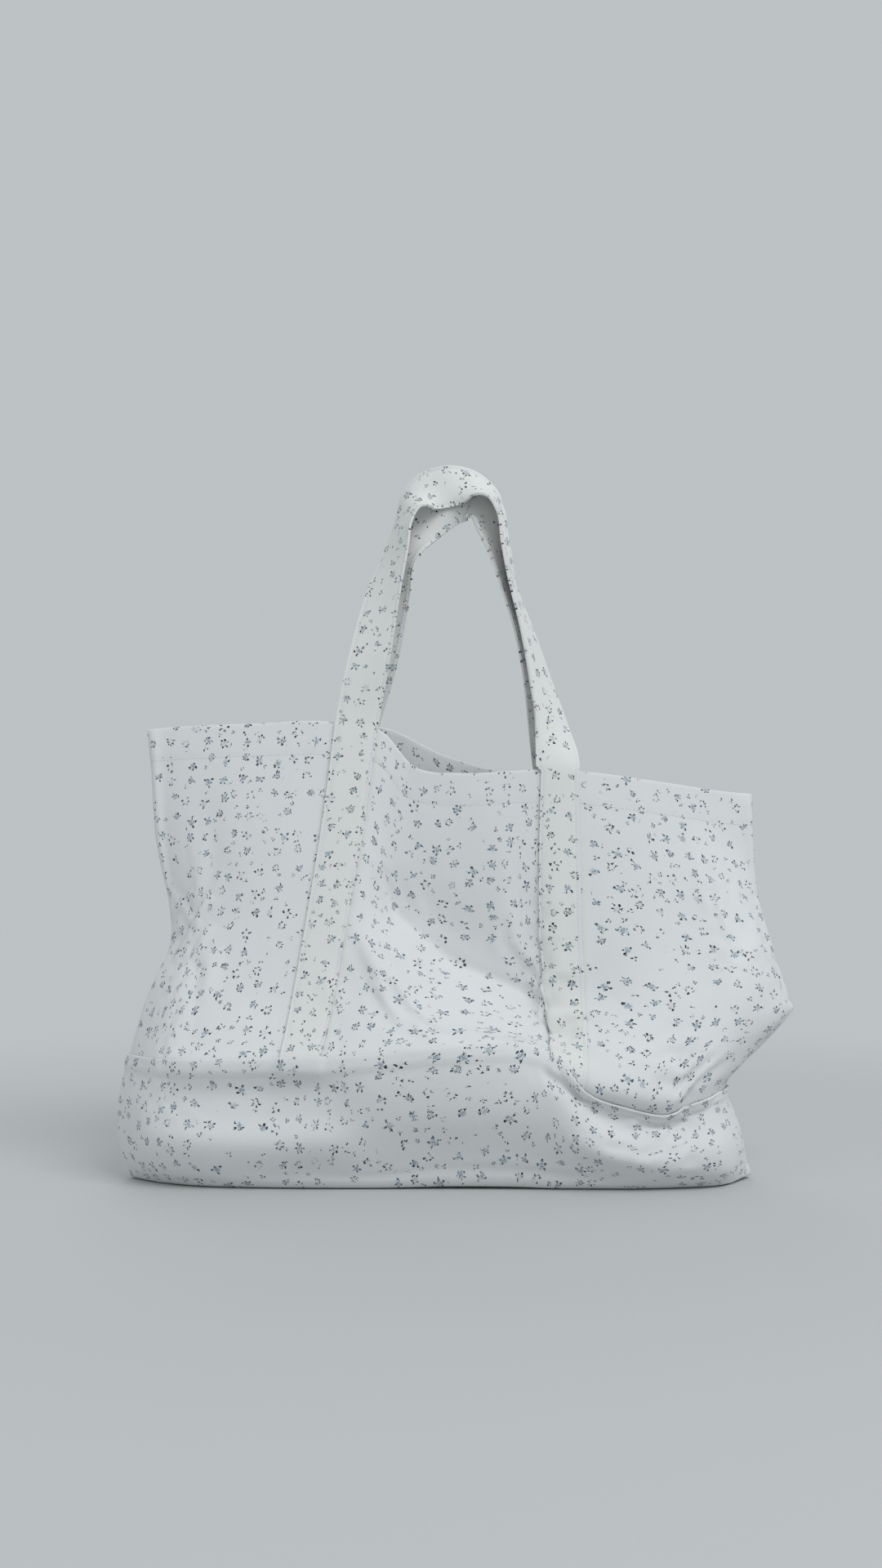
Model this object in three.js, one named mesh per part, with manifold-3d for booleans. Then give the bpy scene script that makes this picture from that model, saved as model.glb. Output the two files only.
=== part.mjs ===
import * as THREE from 'three';
import Module from 'manifold-3d';

// A canvas tote bag with a base wrap and two strap handles, standing slack.
// Millimetres. +Z is up, the front faces -Y, the origin is the middle of the base's underside.

// ---------- driving dimensions ----------
const CLOTH = 1.3;            // canvas wall
const HEM_DEPTH = 28;         // turned hem round the mouth, two layers
const WRAP_THICK = 1.5;       // base wrap wall
const WRAP_HEIGHT = 97;       // base wrap's top edge above the floor
const TUCK = 11;              // how far a panel runs down behind the wrap
const STRAP_WIDTH = 35;
const STRAP_THICK = 2.2;      // strap folded from four layers
const GAP = 0.3;              // clearance between pieces that touch
const SEAM_GAP = 0.3;         // clearance between the two panels at a side seam
const STRAP_GAP = 0.5;        // clearance between a strap and its panel
const BASE_ROUNDING = 9;      // rounding where the base turns up into the walls
const THREAD_WIDTH = 0.7;
const THREAD_THICK = 0.4;
const THREAD_GAP = 0.5;
const HINGE_STANDOFF = 2.2;   // handle's fold line in front of the sewn strap
const HANDLE_NEST = 4.8;      // the back handle lies this far behind the front one

// A smooth curve through [position, value] pairs, held level outside them.
function through(pairs) {
  const slope = pairs.map((pair, i) => {
    const before = pairs[Math.max(i - 1, 0)];
    const after = pairs[Math.min(i + 1, pairs.length - 1)];
    return (after[1] - before[1]) / (after[0] - before[0]);
  });
  return (at) => {
    if (at <= pairs[0][0]) return pairs[0][1];
    const last = pairs.length - 1;
    if (at >= pairs[last][0]) return pairs[last][1];
    const i = pairs.findIndex((pair) => pair[0] > at) - 1;
    const span = pairs[i + 1][0] - pairs[i][0];
    const t = (at - pairs[i][0]) / span;
    const rise = pairs[i + 1][1] - pairs[i][1];
    const a = slope[i] * span - rise;
    const b = rise - slope[i + 1] * span;
    return pairs[i][1] + rise * t + t * (1 - t) * (a * (1 - t) + b * t);
  };
}

// Outline of the bag seen from the front: the side seams, by height.
const leftSide = through([
  [0, -234], [50, -248], [94, -240], [141, -229], [176, -214], [268, -227], [352, -233],
]);
const rightSide = through([
  [0, 240], [60, 242], [100, 262], [133, 284], [170, 272], [218, 263], [299, 260],
]);
// Where the side seams, the front wall and the back wall stand from front to back, by height.
const seamDepth = through([[0, 0], [60, 4], [94, 9], [133, 22], [176, 35], [268, 46], [352, 50]]);
const frontReach = through([[0, 45], [55, 62], [100, 68], [140, 56], [200, 40], [300, 28], [352, 23]]);
const backReach = through([[0, 45], [60, 45], [100, 43], [200, 22], [300, 19], [352, 18]]);
// The walls meet in a box at the base and in a sharp fold at the rim.
const flatness = through([[0, 8], [97, 8], [250, 2], [352, 2]]);
const bluntness = through([[0, 0.3], [97, 0.3], [250, 1], [352, 1]]);
// Height of the rim from the left seam (-1) to the right seam (+1).
const LEFT_RIM = 352;
const RIGHT_RIM = 299;
const RIM_MIDDLE = (leftSide(LEFT_RIM) + rightSide(RIGHT_RIM)) / 2;
const RIM_HALF = (rightSide(RIGHT_RIM) - leftSide(LEFT_RIM)) / 2;
const frontRim = through([
  [-1, 353], [-0.38, 356], [-0.23, 351], [-0.12, 322], [0.04, 315], [0.34, 318], [0.56, 313], [1, 299],
]);
const backRim = through([
  [-1, 353], [-0.38, 356], [-0.23, 355], [-0.08, 340], [0.03, 327], [0.11, 318], [0.35, 314], [1, 299],
]);

const FRONT = { sign: -1, reach: frontReach, rim: frontRim };
const BACK = { sign: 1, reach: backReach, rim: backRim };
const PANEL_INSET = WRAP_THICK + GAP + 0.2;

// A point of the wall at a height. The turn runs from 0 at the left seam to pi at the right seam.
function wallPoint(side, z, turn, inset, seamClear) {
  const middle = (leftSide(z) + rightSide(z)) / 2;
  const half = (rightSide(z) - leftSide(z)) / 2 - inset;
  const c = Math.cos(turn);
  const across = -Math.sign(c) * Math.abs(c) ** (2 / flatness(z));
  const out = Math.abs(Math.sin(turn)) ** (2 * bluntness(z));
  const y = seamDepth(z) + side.sign * ((side.reach(z) - inset) * out + seamClear);
  return new THREE.Vector3(middle + across * half, y, z);
}

// The level direction from the wall at a turn into the bag.
function wallInward(side, z, turn, inset) {
  const step = 0.03;
  const a = wallPoint(side, z, Math.max(turn - step, 0), inset, 0);
  const b = wallPoint(side, z, Math.min(turn + step, Math.PI), inset, 0);
  const along = b.sub(a);
  return new THREE.Vector3(along.y * side.sign, -along.x * side.sign, 0).normalize();
}

// How far a panel's outer face stands from the seam plane, so that both panels clear it.
function seamClearance(side, z) {
  return SEAM_GAP / 2 + CLOTH * Math.abs(wallInward(side, z, 0, PANEL_INSET).y);
}

// The outer face of a panel at a place seen from the front.
function panelFace(side, x, z) {
  const middle = (leftSide(z) + rightSide(z)) / 2;
  const half = (rightSide(z) - leftSide(z)) / 2 - PANEL_INSET;
  const across = Math.min(Math.abs((x - middle) / half), 1);
  const out = (1 - across ** flatness(z)) ** bluntness(z);
  const y = seamDepth(z) + side.sign * ((side.reach(z) - PANEL_INSET) * out + seamClearance(side, z));
  return new THREE.Vector3(x, y, z);
}

function rimHeight(side, x) {
  return side.rim((x - RIM_MIDDLE) / RIM_HALF);
}

// ---------- solids ----------
function solidFrom(points, faces) {
  let volume = 0;
  for (const [a, b, c] of faces) {
    volume += points[a].dot(new THREE.Vector3().crossVectors(points[b], points[c]));
  }
  const ordered = volume < 0 ? faces.map(([a, b, c]) => [a, c, b]) : faces;
  const geometry = new THREE.BufferGeometry();
  const flat = points.flatMap((p) => [p.x, p.y, p.z]);
  geometry.setAttribute('position', new THREE.Float32BufferAttribute(flat, 3));
  geometry.setIndex(ordered.flat());
  geometry.computeVertexNormals();
  return geometry;
}

// A closed bar that follows stations, each with a centre, a width direction and a face direction.
function ribbon(stations, width, thickness) {
  const points = [];
  const faces = [];
  for (const { centre, across, face } of stations) {
    for (const [w, t] of [[-1, -1], [1, -1], [1, 1], [-1, 1]]) {
      const p = centre.clone();
      p.addScaledVector(across, (w * width) / 2);
      p.addScaledVector(face, (t * thickness) / 2);
      points.push(p);
    }
  }
  for (let i = 0; i + 1 < stations.length; i += 1) {
    for (let k = 0; k < 4; k += 1) {
      const a = i * 4 + k;
      const b = i * 4 + ((k + 1) % 4);
      faces.push([a, b, b + 4], [a, b + 4, a + 4]);
    }
  }
  const end = (stations.length - 1) * 4;
  faces.push([2, 1, 0], [3, 2, 0], [end, end + 1, end + 2], [end, end + 2, end + 3]);
  return solidFrom(points, faces);
}

// ---------- panels ----------
// Half of the bag's tube: a cloth wall with a doubled hem inside its top edge.
function panel(side) {
  const turns = 32;
  const bottom = WRAP_HEIGHT - TUCK;
  const bodyRows = 20;
  const rows = [];
  for (let j = 0; j <= bodyRows; j += 1) {
    rows.push({ share: j / bodyRows, drop: HEM_DEPTH + 0.4, wall: CLOTH });
  }
  rows.push({ share: 1, drop: HEM_DEPTH, wall: 2 * CLOTH });
  rows.push({ share: 1, drop: HEM_DEPTH / 2, wall: 2 * CLOTH });
  rows.push({ share: 1, drop: 0, wall: 2 * CLOTH });
  const points = [];
  const faces = [];
  for (const row of rows) {
    for (let i = 0; i <= turns; i += 1) {
      const turn = (Math.PI * i) / turns;
      const top = side.rim(-Math.cos(turn)) - row.drop;
      const z = bottom + (top - bottom) * row.share;
      const clear = seamClearance(side, z);
      const inward = wallInward(side, z, turn, PANEL_INSET);
      const outer = wallPoint(side, z, turn, PANEL_INSET, clear);
      const inner = outer.clone().addScaledVector(inward, row.wall);
      const limit = seamDepth(z) + (side.sign * SEAM_GAP) / 2;
      inner.y = side.sign < 0 ? Math.min(inner.y, limit) : Math.max(inner.y, limit);
      points.push(outer, inner);
    }
  }
  const at = (j, i, layer) => 2 * (j * (turns + 1) + i) + layer;
  const quad = (a, b, c, d) => faces.push([a, b, c], [a, c, d]);
  for (let j = 0; j + 1 < rows.length; j += 1) {
    for (let i = 0; i < turns; i += 1) {
      quad(at(j, i, 0), at(j, i + 1, 0), at(j + 1, i + 1, 0), at(j + 1, i, 0));
      quad(at(j, i + 1, 1), at(j, i, 1), at(j + 1, i, 1), at(j + 1, i + 1, 1));
    }
    quad(at(j, 0, 1), at(j, 0, 0), at(j + 1, 0, 0), at(j + 1, 0, 1));
    quad(at(j, turns, 0), at(j, turns, 1), at(j + 1, turns, 1), at(j + 1, turns, 0));
  }
  const top = rows.length - 1;
  for (let i = 0; i < turns; i += 1) {
    quad(at(0, i, 1), at(0, i + 1, 1), at(0, i + 1, 0), at(0, i, 0));
    quad(at(top, i, 0), at(top, i + 1, 0), at(top, i + 1, 1), at(top, i, 1));
  }
  return solidFrom(points, faces);
}

// ---------- base wrap ----------
// One cloth tray: flat underside, rounded turn, walls up to the wrap's top edge, open above.
function baseWrap() {
  const turns = 28;
  const arcSteps = 4;
  const wallSteps = 7;
  const rings = [];
  const roundTo = (radius, raise, inset) => {
    const list = [];
    for (let k = 0; k <= arcSteps; k += 1) {
      const a = (Math.PI / 2) * (k / arcSteps);
      list.push({ z: raise + radius * (1 - Math.cos(a)), inset: inset + radius * (1 - Math.sin(a)) });
    }
    return list;
  };
  rings.push(...roundTo(BASE_ROUNDING, 0, 0));
  for (let k = 1; k <= wallSteps; k += 1) {
    rings.push({ z: BASE_ROUNDING + ((WRAP_HEIGHT - BASE_ROUNDING) * k) / wallSteps, inset: 0 });
  }
  for (let k = wallSteps; k >= 1; k -= 1) {
    rings.push({ z: BASE_ROUNDING + ((WRAP_HEIGHT - BASE_ROUNDING) * k) / wallSteps, inset: WRAP_THICK });
  }
  rings.push(...roundTo(BASE_ROUNDING - WRAP_THICK, WRAP_THICK, WRAP_THICK).reverse());
  const points = [];
  const faces = [];
  for (const ring of rings) {
    const shapeHeight = Math.max(ring.z, BASE_ROUNDING);
    for (const side of [FRONT, BACK]) {
      for (let i = 0; i < turns; i += 1) {
        const turn = side === FRONT ? (Math.PI * i) / turns : Math.PI - (Math.PI * i) / turns;
        const p = wallPoint(side, shapeHeight, turn, ring.inset, 0);
        p.z = ring.z;
        points.push(p);
      }
    }
  }
  const count = 2 * turns;
  for (let j = 0; j + 1 < rings.length; j += 1) {
    for (let i = 0; i < count; i += 1) {
      const next = (i + 1) % count;
      const a = j * count + i;
      const b = j * count + next;
      faces.push([a, b, b + count], [a, b + count, a + count]);
    }
  }
  const last = (rings.length - 1) * count;
  const under = points.length;
  points.push(new THREE.Vector3(0, 0, 0), new THREE.Vector3(0, 0, WRAP_THICK));
  for (let i = 0; i < count; i += 1) {
    const next = (i + 1) % count;
    faces.push([under, next, i], [under + 1, last + i, last + next]);
  }
  return solidFrom(points, faces);
}

// ---------- straps sewn to the panels ----------
const STRAPS = {
  left: { top: -61, foot: -100 },
  right: { top: 100, foot: 109 },
};

function strapCentre(strap, side, z) {
  const high = rimHeight(side, strap.top) - 1;
  const low = WRAP_HEIGHT + 1;
  const t = (z - low) / (high - low);
  return strap.foot + (strap.top - strap.foot) * t;
}

// A station of a strip lying on a panel, its underside standing off by a gap.
function panelStation(side, x, z, halfWidth, standoff) {
  const a = panelFace(side, x - halfWidth, z);
  const b = panelFace(side, x + halfWidth, z);
  const up = panelFace(side, x, z + 2).sub(panelFace(side, x, z - 2)).normalize();
  const across = b.clone().sub(a).normalize();
  const face = new THREE.Vector3().crossVectors(across, up).normalize();
  if (face.y * side.sign < 0) face.negate();
  const centre = a.add(b).multiplyScalar(0.5).addScaledVector(face, standoff);
  return { centre, across, face };
}

function sewnStrap(strap, side) {
  const low = WRAP_HEIGHT + 1.2;
  const high = rimHeight(side, strap.top) - 1;
  const count = 24;
  const stations = [];
  for (let k = 0; k <= count; k += 1) {
    const z = low + ((high - low) * k) / count;
    const x = strapCentre(strap, side, z);
    stations.push(panelStation(side, x, z, STRAP_WIDTH / 2, STRAP_GAP + STRAP_THICK / 2));
  }
  return ribbon(stations, STRAP_WIDTH, STRAP_THICK);
}

// ---------- handle loops ----------
// The handle folds over along a line just in front of its two sewn straps.
function foldPoint(strap, side) {
  const z = rimHeight(side, strap.top) - 1;
  const sewn = panelStation(side, strap.top, z, STRAP_WIDTH / 2, STRAP_GAP + STRAP_THICK);
  return sewn.centre.add(new THREE.Vector3(0, side.sign * HINGE_STANDOFF, 0));
}

// Stations between guides of [x, y, z, turn in degrees from facing forward to facing sideways].
// The first station lies along the fold line.
function legStations(guides, lean, count, foldLine) {
  const path = new THREE.CatmullRomCurve3(guides.map((g) => new THREE.Vector3(g[0], g[1], g[2])));
  const turnAt = through(guides.map((g, i) => [i / (guides.length - 1), g[3]]));
  const stations = [];
  for (let k = 0; k <= count; k += 1) {
    const t = k / count;
    const turn = (turnAt(t) * Math.PI) / 180;
    const tangent = path.getTangent(t);
    const across = new THREE.Vector3(Math.cos(turn), lean * Math.sin(turn), 0);
    across.addScaledVector(tangent, -across.dot(tangent)).normalize();
    if (k === 0) across.copy(foldLine);
    const face = new THREE.Vector3().crossVectors(across, tangent).normalize();
    if (face.y > 0) face.negate();
    stations.push({ centre: path.getPoint(t), across, face });
  }
  return stations;
}

const wasm = await Module();
wasm.setup();

function toManifold(geometry) {
  const vertProperties = new Float32Array(geometry.getAttribute('position').array);
  const triVerts = new Uint32Array(geometry.getIndex().array);
  return new wasm.Manifold(new wasm.Mesh({ numProp: 3, vertProperties, triVerts }));
}

function fuse(geometries) {
  let whole = toManifold(geometries[0]);
  for (const next of geometries.slice(1)) whole = whole.add(toManifold(next));
  const mesh = whole.getMesh();
  const geometry = new THREE.BufferGeometry();
  geometry.setAttribute('position', new THREE.Float32BufferAttribute(Array.from(mesh.vertProperties), 3));
  geometry.setIndex(Array.from(mesh.triVerts));
  geometry.computeVertexNormals();
  return geometry;
}

// One free strap loop: a left leg, a right leg that turns edge-on, and a flat top between them.
const TOP_LEFT = { x: -18, z: 540 };
const TOP_RIGHT = { x: 53, z: 553 };
const LEG_STEPS = 16;
function handleLoop(leftGuides, rightGuides, topDepth) {
  const firstFold = new THREE.Vector3().fromArray(leftGuides[0]);
  const lastFold = new THREE.Vector3().fromArray(rightGuides[0]);
  const foldLine = lastFold.sub(firstFold).normalize();
  const leftLeg = ribbon(legStations(leftGuides, -1, LEG_STEPS, foldLine), STRAP_WIDTH, STRAP_THICK);
  const rightLeg = ribbon(legStations(rightGuides, 1, LEG_STEPS, foldLine), STRAP_WIDTH, STRAP_THICK);
  const ends = [TOP_LEFT, TOP_RIGHT].map(({ x, z }) => new THREE.Vector3(x, topDepth, z));
  const along = ends[1].clone().sub(ends[0]).normalize();
  const face = new THREE.Vector3(0, -1, 0);
  const across = new THREE.Vector3().crossVectors(face, along).normalize();
  const top = ribbon(ends.map((centre) => ({ centre, across, face })), STRAP_WIDTH, STRAP_THICK);
  return fuse([leftLeg, rightLeg, top]);
}

const frontLeftFold = foldPoint(STRAPS.left, FRONT);
const frontRightFold = foldPoint(STRAPS.right, FRONT);
const backLeftFold = foldPoint(STRAPS.left, BACK);
const backRightFold = foldPoint(STRAPS.right, BACK);
const RISE = 1.8;             // the free strap starts this far above its fold line
const LOOP_TOP_DEPTH = 65;    // the front loop's flat top, back from the middle of the base
const frontLeftLeg = [
  [frontLeftFold.x, frontLeftFold.y, frontLeftFold.z + RISE, 0],
  [-52, 37, 415, 16],
  [-41, 49, 469, 34],
  [-26, 57.5, 500, 24],
  [-14, 64.4, 524, 6],
  [-2, LOOP_TOP_DEPTH, 548, 0],
];
const frontRightLeg = [
  [frontRightFold.x, frontRightFold.y, frontRightFold.z + RISE, 0],
  [85, 38, 380, 52],
  [71, 49, 434, 78],
  [63, 53, 476, 70],
  [50, 63, 512, 24],
  [41, 64.8, 532, 3],
  [36, LOOP_TOP_DEPTH, 550, 0],
];
const behind = (guide, lean) => {
  const turn = (guide[3] * Math.PI) / 180;
  const x = guide[0] - lean * HANDLE_NEST * Math.sin(turn);
  return [x, guide[1] + HANDLE_NEST * Math.cos(turn), guide[2], guide[3]];
};
const backLeftLeg = [
  [backLeftFold.x, backLeftFold.y, backLeftFold.z + RISE, 0],
  [-50, 70, 415, 8],
  [-37, 65, 469, 26],
  [-24, 65.5, 500, 20],
  ...frontLeftLeg.slice(4).map((guide) => behind(guide, -1)),
];
const backRightLeg = [
  [backRightFold.x, backRightFold.y, backRightFold.z + RISE, 0],
  [82, 61, 380, 46],
  ...frontRightLeg.slice(2).map((guide) => behind(guide, 1)),
];

// ---------- stitching rows ----------
function threadRow(side, from, to, heightAt, standoff, count) {
  const stations = [];
  for (let k = 0; k <= count; k += 1) {
    const x = from + ((to - from) * k) / count;
    const z = heightAt(x);
    const here = panelStation(side, x, z, 1, standoff + THREAD_THICK / 2);
    const next = panelStation(side, x + 0.5, heightAt(x + 0.5), 1, standoff + THREAD_THICK / 2);
    const along = next.centre.clone().sub(here.centre).normalize();
    const across = new THREE.Vector3().crossVectors(here.face, along).normalize();
    stations.push({ centre: here.centre, across, face: here.face });
  }
  return ribbon(stations, THREAD_WIDTH, THREAD_THICK);
}

// The mouth's hem row, broken where the straps cross it.
function hemRow(side, from, to) {
  const heightAt = (x) => rimHeight(side, x) - HEM_DEPTH + 3;
  return threadRow(side, from, to, heightAt, THREAD_GAP, 26);
}

// The row along the wrap's top edge, on the wrap's own face, stopping just short of the side seams.
const ROW_END = 0.12;         // in radians of turn from a side seam
const WRAP_ROW_LIFT = 0.35;   // more clearance, because the row's straight steps cut the wall's curve
function wrapRow(side) {
  const count = 30;
  const z = WRAP_HEIGHT - 4;
  const stations = [];
  for (let k = 0; k <= count; k += 1) {
    const turn = ROW_END + ((Math.PI - 2 * ROW_END) * k) / count;
    const inward = wallInward(side, z, turn, 0);
    const lift = THREAD_GAP + WRAP_ROW_LIFT + THREAD_THICK / 2;
    const centre = wallPoint(side, z, turn, 0, 0).addScaledVector(inward, -lift);
    stations.push({ centre, across: new THREE.Vector3(0, 0, 1), face: inward.clone().negate() });
  }
  return ribbon(stations, THREAD_WIDTH, THREAD_THICK);
}

// The rows along both edges of a sewn strap, joined across just under the rim.
function strapRows(strap, side) {
  const edge = STRAP_WIDTH / 2 - 3;
  const low = WRAP_HEIGHT + 2.5;
  const high = rimHeight(side, strap.top) - 5;
  const count = 18;
  const lift = STRAP_GAP + STRAP_THICK + THREAD_GAP + THREAD_THICK / 2;
  const row = (offset) => {
    const stations = [];
    for (let k = 0; k <= count; k += 1) {
      const z = low + ((high - low) * k) / count;
      const on = panelStation(side, strapCentre(strap, side, z), z, STRAP_WIDTH / 2, lift);
      on.centre.addScaledVector(on.across, offset);
      stations.push(on);
    }
    return stations;
  };
  const leftRow = row(-edge);
  const rightRow = row(edge);
  const up = leftRow[count].centre.clone().sub(leftRow[count - 1].centre).normalize();
  const bar = [leftRow[count], rightRow[count]].map(({ centre, face }) => ({
    centre: centre.clone().addScaledVector(up, -THREAD_WIDTH),
    across: up,
    face,
  }));
  return fuse([
    ribbon(leftRow, THREAD_WIDTH, THREAD_THICK),
    ribbon(rightRow, THREAD_WIDTH, THREAD_THICK),
    ribbon(bar, THREAD_WIDTH, THREAD_THICK),
  ]);
}

// ---------- assembly ----------
const group = new THREE.Group();
group.name = 'canvas_tote_bag';

function add(name, geometry, colour, roughness) {
  const color = new THREE.Color(...colour);
  const material = new THREE.MeshStandardMaterial({ color, roughness, metalness: 0 });
  const mesh = new THREE.Mesh(geometry, material);
  mesh.name = name;
  group.add(mesh);
}

const CANVAS = [0.8, 0.81, 0.8];
const STRAP_CLOTH = [0.83, 0.83, 0.82];
const THREAD = [0.9, 0.9, 0.88];
const CLOTH_ROUGHNESS = 0.9;
const THREAD_ROUGHNESS = 0.6;
const frontLoop = handleLoop(frontLeftLeg, frontRightLeg, LOOP_TOP_DEPTH);
const backLoop = handleLoop(backLeftLeg, backRightLeg, LOOP_TOP_DEPTH + HANDLE_NEST);

add('base_wrap', baseWrap(), CANVAS, CLOTH_ROUGHNESS);
add('front_panel', panel(FRONT), CANVAS, CLOTH_ROUGHNESS);
add('back_panel', panel(BACK), CANVAS, CLOTH_ROUGHNESS);
add('front_strap_left_leg', sewnStrap(STRAPS.left, FRONT), STRAP_CLOTH, CLOTH_ROUGHNESS);
add('front_strap_right_leg', sewnStrap(STRAPS.right, FRONT), STRAP_CLOTH, CLOTH_ROUGHNESS);
add('back_strap_left_leg', sewnStrap(STRAPS.left, BACK), STRAP_CLOTH, CLOTH_ROUGHNESS);
add('back_strap_right_leg', sewnStrap(STRAPS.right, BACK), STRAP_CLOTH, CLOTH_ROUGHNESS);
add('front_handle_loop', frontLoop, STRAP_CLOTH, CLOTH_ROUGHNESS);
add('back_handle_loop', backLoop, STRAP_CLOTH, CLOTH_ROUGHNESS);

// The hem row runs from the left seam to the left strap, between the straps, and on to the right seam.
const ROW_LEFT_END = -212;
const ROW_RIGHT_END = 242;
const clearOfStrap = STRAP_WIDTH / 2 + 3;
const hemParts = {
  left: [ROW_LEFT_END, STRAPS.left.top - clearOfStrap - 2],
  middle: [STRAPS.left.top + clearOfStrap, STRAPS.right.top - clearOfStrap],
  right: [STRAPS.right.top + clearOfStrap, ROW_RIGHT_END],
};
for (const [word, side] of [['front', FRONT], ['back', BACK]]) {
  for (const [part, [from, to]] of Object.entries(hemParts)) {
    add(`${word}_hem_stitching_${part}`, hemRow(side, from, to), THREAD, THREAD_ROUGHNESS);
  }
  add(`${word}_wrap_stitching`, wrapRow(side), THREAD, THREAD_ROUGHNESS);
  add(`${word}_left_strap_stitching`, strapRows(STRAPS.left, side), THREAD, THREAD_ROUGHNESS);
  add(`${word}_right_strap_stitching`, strapRows(STRAPS.right, side), THREAD, THREAD_ROUGHNESS);
}

export default group;
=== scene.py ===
import math

import bmesh
import bpy
import numpy as np
from mathutils import Matrix, Vector


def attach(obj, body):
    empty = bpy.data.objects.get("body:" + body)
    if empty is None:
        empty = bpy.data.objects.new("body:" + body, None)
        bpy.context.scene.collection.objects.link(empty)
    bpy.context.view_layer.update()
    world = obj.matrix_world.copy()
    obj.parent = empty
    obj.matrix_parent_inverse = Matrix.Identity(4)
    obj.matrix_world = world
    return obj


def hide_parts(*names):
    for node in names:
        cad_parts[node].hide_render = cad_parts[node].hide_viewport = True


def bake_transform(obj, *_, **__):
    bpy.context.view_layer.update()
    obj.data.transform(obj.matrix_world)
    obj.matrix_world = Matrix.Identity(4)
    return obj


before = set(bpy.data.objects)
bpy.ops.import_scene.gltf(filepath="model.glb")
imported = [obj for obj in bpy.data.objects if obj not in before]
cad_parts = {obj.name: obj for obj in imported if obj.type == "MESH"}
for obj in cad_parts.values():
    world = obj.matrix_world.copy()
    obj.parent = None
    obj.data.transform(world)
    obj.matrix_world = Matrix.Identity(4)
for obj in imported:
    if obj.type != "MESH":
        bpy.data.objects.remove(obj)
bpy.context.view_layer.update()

scene = bpy.context.scene

# ---------------------------------------------------------------- camera
# A lens a little longer than normal, low in front of the bag and tilted up by less than two degrees,
# so that the base is seen almost edge-on and the handles stand well inside the frame.
LENS = 39.2
SENSOR = 36
CAMERA_HEIGHT = 0.268
CAMERA_BACK = 1.336
CAMERA_ASIDE = 0.0064
TILT_UP = math.radians(1.64)
camera = bpy.data.objects.new("camera", bpy.data.cameras.new("camera"))
scene.collection.objects.link(camera)
camera.data.lens = LENS
camera.data.sensor_width = SENSOR
camera.data.clip_start = 0.05
camera.location = (CAMERA_ASIDE, -CAMERA_BACK, CAMERA_HEIGHT)
camera.rotation_euler = (math.pi / 2 + TILT_UP, 0, 0)
scene.camera = camera


# ---------------------------------------------------------------- floor and light
# A pale floor that fades into an even, pale room, one large soft window light above and in front, and
# two weak ones, low on the left so that the folds keep some shape, and behind for the back.
class Signal:
    """The output of a shader node, so that shader maths reads as an expression."""

    def __init__(self, finish, socket):
        self.finish = finish
        self.socket = socket

    def maths(self, operation, *others):
        return self.finish.node("ShaderNodeMath", {"operation": operation}, [self, *others])

    def __add__(self, other):
        return self.maths("ADD", other)

    __radd__ = __add__

    def __sub__(self, other):
        return self.maths("SUBTRACT", other)

    def __rsub__(self, other):
        return self.finish.node("ShaderNodeMath", {"operation": "SUBTRACT"}, [other, self])

    def __mul__(self, other):
        return self.maths("MULTIPLY", other)

    __rmul__ = __mul__

    def __truediv__(self, other):
        return self.maths("DIVIDE", other)


class Finish:
    """A material under construction."""

    def __init__(self, name):
        self.material = bpy.data.materials.new(name)
        self.material.use_nodes = True
        self.tree = self.material.node_tree
        self.shader = self.tree.nodes["Principled BSDF"]

    def node(self, kind, settings=None, values=(), output=0):
        """Adds a node. values fill its sockets in order, or by name when given as a dict."""
        made = self.tree.nodes.new(kind)
        for key, value in (settings or {}).items():
            if key == "ramp":
                self.fill_ramp(made.color_ramp, value)
            else:
                setattr(made, key, value)
        pairs = values.items() if isinstance(values, dict) else enumerate(values)
        for key, value in pairs:
            self.feed(made.inputs[key], value)
        return Signal(self, made.outputs[output])

    def fill_ramp(self, ramp, stops):
        while len(ramp.elements) < len(stops):
            ramp.elements.new(0.5)
        for element, (place, colour) in zip(ramp.elements, stops):
            element.position = place
            element.color = colour

    def feed(self, socket, value):
        if isinstance(value, Signal):
            self.tree.links.new(value.socket, socket)
        else:
            socket.default_value = value

    def shade(self, **values):
        for key, value in values.items():
            self.feed(self.shader.inputs[key.replace("_", " ")], value)

    def step(self, signal, low, high):
        """0 below low, 1 above high, smooth in between."""
        settings = {"interpolation_type": "SMOOTHSTEP"}
        return self.node("ShaderNodeMapRange", settings, [signal, low, high, 0.0, 1.0])

    def mix(self, amount, first, second):
        values = {"Factor": amount, 6: first, 7: second}
        return self.node("ShaderNodeMix", {"data_type": "RGBA"}, values, output=2)


ROOM_TONE = (0.506, 0.541, 0.552)
world = bpy.data.worlds.new("pale room")
scene.world = world
world.use_nodes = True
background = world.node_tree.nodes["Background"]
background.inputs["Color"].default_value = (*ROOM_TONE, 1)
background.inputs["Strength"].default_value = 1.0
scene.view_settings.view_transform = "Standard"


def placed(mesh, name):
    """The finished mesh as an object of the scene."""
    made = bpy.data.objects.new(name, bpy.data.meshes.new(name))
    mesh.to_mesh(made.data)
    mesh.free()
    scene.collection.objects.link(made)
    return made


FLOOR_REACH = 3.0
FLOOR_TONE = (0.50, 0.51, 0.51, 1)
FADE_START = 0.45
FADE_END = 1.15
mesh = bmesh.new()
bmesh.ops.create_circle(mesh, cap_ends=True, segments=64, radius=FLOOR_REACH)
floor = placed(mesh, "floor")
finish = Finish("pale floor")
place = finish.node("ShaderNodeTexCoord", output=3)
away = finish.node("ShaderNodeVectorMath", {"operation": "LENGTH"}, [place], output=1)
finish.shade(Base_Color=FLOOR_TONE, Roughness=0.75)
finish.shade(Alpha=1 - finish.step(away, FADE_START, FADE_END))
floor.data.materials.append(finish.material)


DAYLIGHT = (0.96, 0.985, 1.0)
BAG_MIDDLE = (0, 0, 0.25)


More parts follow.
